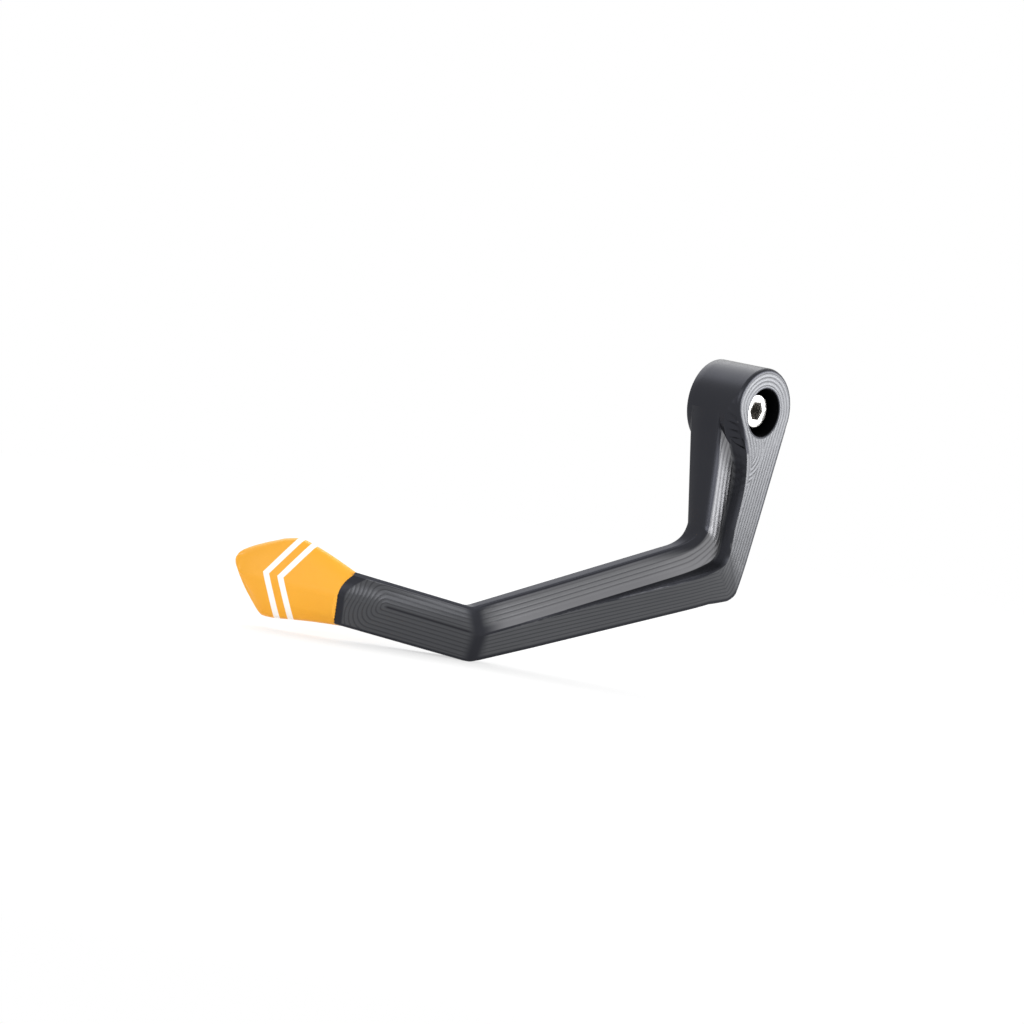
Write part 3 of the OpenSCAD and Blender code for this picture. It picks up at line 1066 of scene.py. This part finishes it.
def anodised_black():
    """Black anodised aluminium: dark satin walls, and milled faces with brighter hollows. Painted
    shade darkens the milling ridges and the counterbore, and the ledge is paler from its polish and,
    at the elbow, from a painted highlight.
    """
    material, tree, shader = new_material("anodised_black", Metallic=1.0)
    grain = use_group(tree, GRAIN)
    wear = use_group(tree, EDGE).outputs["Wear"]
    milled = own_value(tree, "milled")
    ridge = own_value(tree, "ridge")
    satin = blend_colour(
        tree, grain.outputs["Cloud"], (0.029, 0.030, 0.036, 1), (0.036, 0.037, 0.043, 1)
    )
    cut = blend_colour(
        tree, grain.outputs["Cloud"], (0.088, 0.090, 0.096, 1), (0.106, 0.108, 0.114, 1)
    )
    base = blend_colour(tree, milled, satin, cut)
    pale = own_value(tree, "pale")
    covered = own_value(tree, "covered")
    # Paler ledge: the cutter's polish, plus a painted highlight near the elbow.
    base = blend_colour(tree, pale, base, (0.24, 0.24, 0.25, 1))
    wear = maths(tree, "MULTIPLY", wear, maths(tree, "SUBTRACT", 1.0, covered))
    # Painted shade along the milling ridges and the short arm's groove.
    dark = maths(tree, "MULTIPLY", ridge, 0.6, clamp=True)
    base = blend_colour(tree, dark, base, (0.022, 0.022, 0.026, 1))
    base = blend_colour(tree, maths(tree, "MULTIPLY", wear, 0.25), base, (0.22, 0.22, 0.23, 1))
    # Painted shade inside the counterbore.
    shaded_recess = own_value(tree, "shaded_recess")
    base = blend_colour(tree, shaded_recess, base, (0.005, 0.005, 0.006, 1))
    tree.links.new(base, shader.inputs["Base Color"])
    rough = spread(tree, grain.outputs["Fine"], 0.34, 0.42)
    rough = maths(tree, "SUBTRACT", rough, maths(tree, "MULTIPLY", milled, 0.06))
    rough = maths(tree, "ADD", rough, maths(tree, "MULTIPLY", shaded_recess, 0.3))
    tree.links.new(rough, shader.inputs["Roughness"])
    bump(tree, shader, grain.outputs["Fine"], 0.12, 0.00004)
    return material


def white_chevrons(tree):
    """Where the two painted chevrons lie on the tip: 1 inside, 0 outside."""
    along = own_value(tree, "along")
    across = own_value(tree, "across")
    off_middle = maths(tree, "ABSOLUTE", maths(tree, "SUBTRACT", across, CHEVRON_MIDDLE))
    place = maths(tree, "ADD", along, maths(tree, "MULTIPLY", off_middle, CHEVRON_SLANT))
    masks = []
    for middle in CHEVRON_POINTS:
        away = maths(tree, "ABSOLUTE", maths(tree, "SUBTRACT", place, middle))
        masks.append(rescale(tree, away, CHEVRON_OUTER, CHEVRON_INNER))
    return maths(tree, "MAXIMUM", *masks)


def orange_nylon():
    """Orange moulded nylon with white painted chevrons."""
    material, tree, shader = new_material("orange_nylon", IOR=1.5)
    grain = use_group(tree, GRAIN, Fine_scale=1800.0, Cloud_scale=60.0)
    wear = use_group(tree, EDGE, Start=0.52, End=0.6).outputs["Wear"]
    base = blend_colour(
        tree, grain.outputs["Cloud"], (0.78, 0.335, 0.008, 1), (0.84, 0.385, 0.014, 1)
    )
    base = blend_colour(tree, maths(tree, "MULTIPLY", wear, 0.2), base, (1, 0.66, 0.25, 1))
    paint = white_chevrons(tree)
    base = blend_colour(tree, paint, base, (0.88, 0.87, 0.86, 1))
    tree.links.new(base, shader.inputs["Base Color"])
    rough = spread(tree, grain.outputs["Fine"], 0.44, 0.56)
    tree.links.new(rough, shader.inputs["Roughness"])
    height = maths(tree, "ADD", grain.outputs["Fine"], maths(tree, "MULTIPLY", paint, 0.8))
    bump(tree, shader, height, 0.2, 0.00005)
    return material


def bright_steel():
    """Zinc-plated steel, with turning marks round the bolt's axis, and painted shade inside the hex
    socket.
    """
    material, tree, shader = new_material("bright_steel", Metallic=1.0)
    grain = use_group(tree, GRAIN, Fine_scale=3000.0, Cloud_scale=400.0)
    wear = use_group(tree, EDGE).outputs["Wear"]
    base = blend_colour(
        tree, grain.outputs["Cloud"], (0.62, 0.61, 0.59, 1), (0.74, 0.73, 0.71, 1)
    )
    base = blend_colour(tree, maths(tree, "MULTIPLY", wear, 0.5), base, (0.9, 0.89, 0.87, 1))
    # Painted shade inside the hex socket.
    shaded_recess = own_value(tree, "shaded_recess")
    base = blend_colour(tree, maths(tree, "MULTIPLY", shaded_recess, 0.8), base, (0.07, 0.06, 0.05, 1))
    tree.links.new(base, shader.inputs["Base Color"])
    place = add(tree, "ShaderNodeTexCoord").outputs["Object"]
    part = add(tree, "ShaderNodeSeparateXYZ", {0: place})
    r = maths(tree, "SQRT", maths(
        tree, "ADD",
        maths(tree, "POWER", part.outputs["Y"], 2.0),
        maths(tree, "POWER", part.outputs["Z"], 2.0),
    ))
    rings = maths(tree, "SINE", maths(tree, "MULTIPLY", r, 28000.0))
    rough = spread(tree, grain.outputs["Fine"], 0.2, 0.34)
    tree.links.new(rough, shader.inputs["Roughness"])
    bump(tree, shader, rings, 0.06, 0.00002)
    return material


# Stage.

CAMERA_PLACE = (621.68, -799.97, 50.41)
CAMERA_TURN = (84.722, -9.473, 41.746)
CAMERA_LENS = 120.94


def build_camera():
    data = bpy.data.cameras.new("camera")
    data.lens = CAMERA_LENS
    camera = bpy.data.objects.new("camera", data)
    camera.location = [v * MM for v in CAMERA_PLACE]
    camera.rotation_euler = [math.radians(v) for v in CAMERA_TURN]
    bpy.context.scene.collection.objects.link(camera)
    bpy.context.scene.camera = camera


def seen_directly(tree):
    """1 for rays that come straight from the camera, a reflection or glass, 0 for the others."""
    path = add(tree, "ShaderNodeLightPath")
    mirror = maths(
        tree, "MAXIMUM", path.outputs["Is Glossy Ray"], path.outputs["Is Transmission Ray"]
    )
    return maths(tree, "MAXIMUM", path.outputs["Is Camera Ray"], mirror)


AMBIENT = 0.62


def build_world():
    world = bpy.data.worlds.new("studio")
    bpy.context.scene.world = world
    world.use_nodes = True
    tree = world.node_tree
    tree.nodes.clear()
    soft = add(tree, "ShaderNodeBackground", {"Color": (1, 1, 1, 1), "Strength": AMBIENT})
    white = add(tree, "ShaderNodeBackground", {"Color": (1, 1, 1, 1), "Strength": 1.0})
    both = add(
        tree,
        "ShaderNodeMixShader",
        {0: seen_directly(tree), 1: soft.outputs[0], 2: white.outputs[0]},
    )
    out = add(tree, "ShaderNodeOutputWorld")
    tree.links.new(both.outputs[0], out.inputs["Surface"])


def build_floor():
    """A pale floor under the lowest point. To the camera it is white, apart from the shadow."""
    bpy.ops.object.select_all(action="DESELECT")
    bpy.ops.mesh.primitive_plane_add(size=16, location=(0, 0, cad_box[0].z))
    floor = bpy.context.object
    floor.name = "floor"
    material, tree, shader = new_material("floor_white", Roughness=0.9)
    shader.inputs["Base Color"].default_value = (0.92, 0.92, 0.92, 1)
    glow = add(tree, "ShaderNodeEmission", {"Color": (1, 1, 1, 1), "Strength": 1.0})
    place = add(tree, "ShaderNodeTexCoord").outputs["Object"]
    away = add(tree, "ShaderNodeVectorMath", {0: place}, operation="LENGTH").outputs["Value"]
    white = rescale(tree, away, 0.1, 0.45, 0.6)
    share = maths(tree, "MULTIPLY", seen_directly(tree), white)
    both = add(
        tree, "ShaderNodeMixShader", {0: share, 1: shader.outputs[0], 2: glow.outputs[0]}
    )
    tree.links.new(both.outputs[0], tree.nodes["Material Output"].inputs["Surface"])
    floor.data.materials.append(material)


# Softboxes: name, place and target in millimetres, width and height in metres, watts.
SOFTBOXES = [
    ("key", (700, 520, 150), (0, 0, -10), 0.8, 0.46, 9.5),
    ("top", (-500, 160, 640), (-20, -20, -40), 1.0, 0.8, 5.5),
    ("front", (250, -900, 420), (-20, -40, -50), 0.8, 0.6, 3.2),
]


def build_lights():
    for name, place, target, wide, high, watts in SOFTBOXES:
        data = bpy.data.lights.new(name, "AREA")
        data.shape = "RECTANGLE"
        data.size, data.size_y = wide, high
        data.energy = watts
        lamp = bpy.data.objects.new(name, data)
        lamp.location = Vector(place) * MM
        aim = Vector(target) - Vector(place)
        lamp.rotation_euler = aim.to_track_quat("-Z", "Y").to_euler()
        bpy.context.scene.collection.objects.link(lamp)


def finish_piece(obj, material, node):
    obj.data.materials.clear()
    obj.data.materials.append(material)
    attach(obj, "root")
    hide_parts(node)


build_camera()
build_world()
build_floor()
build_lights()
finish_piece(build_guard_arm(), anodised_black(), "guard_arm")
finish_piece(build_end_tip(), orange_nylon(), "end_tip")
finish_piece(build_mounting_bolt(), bright_steel(), "mounting_bolt")

bpy.context.scene.view_settings.view_transform = "Standard"
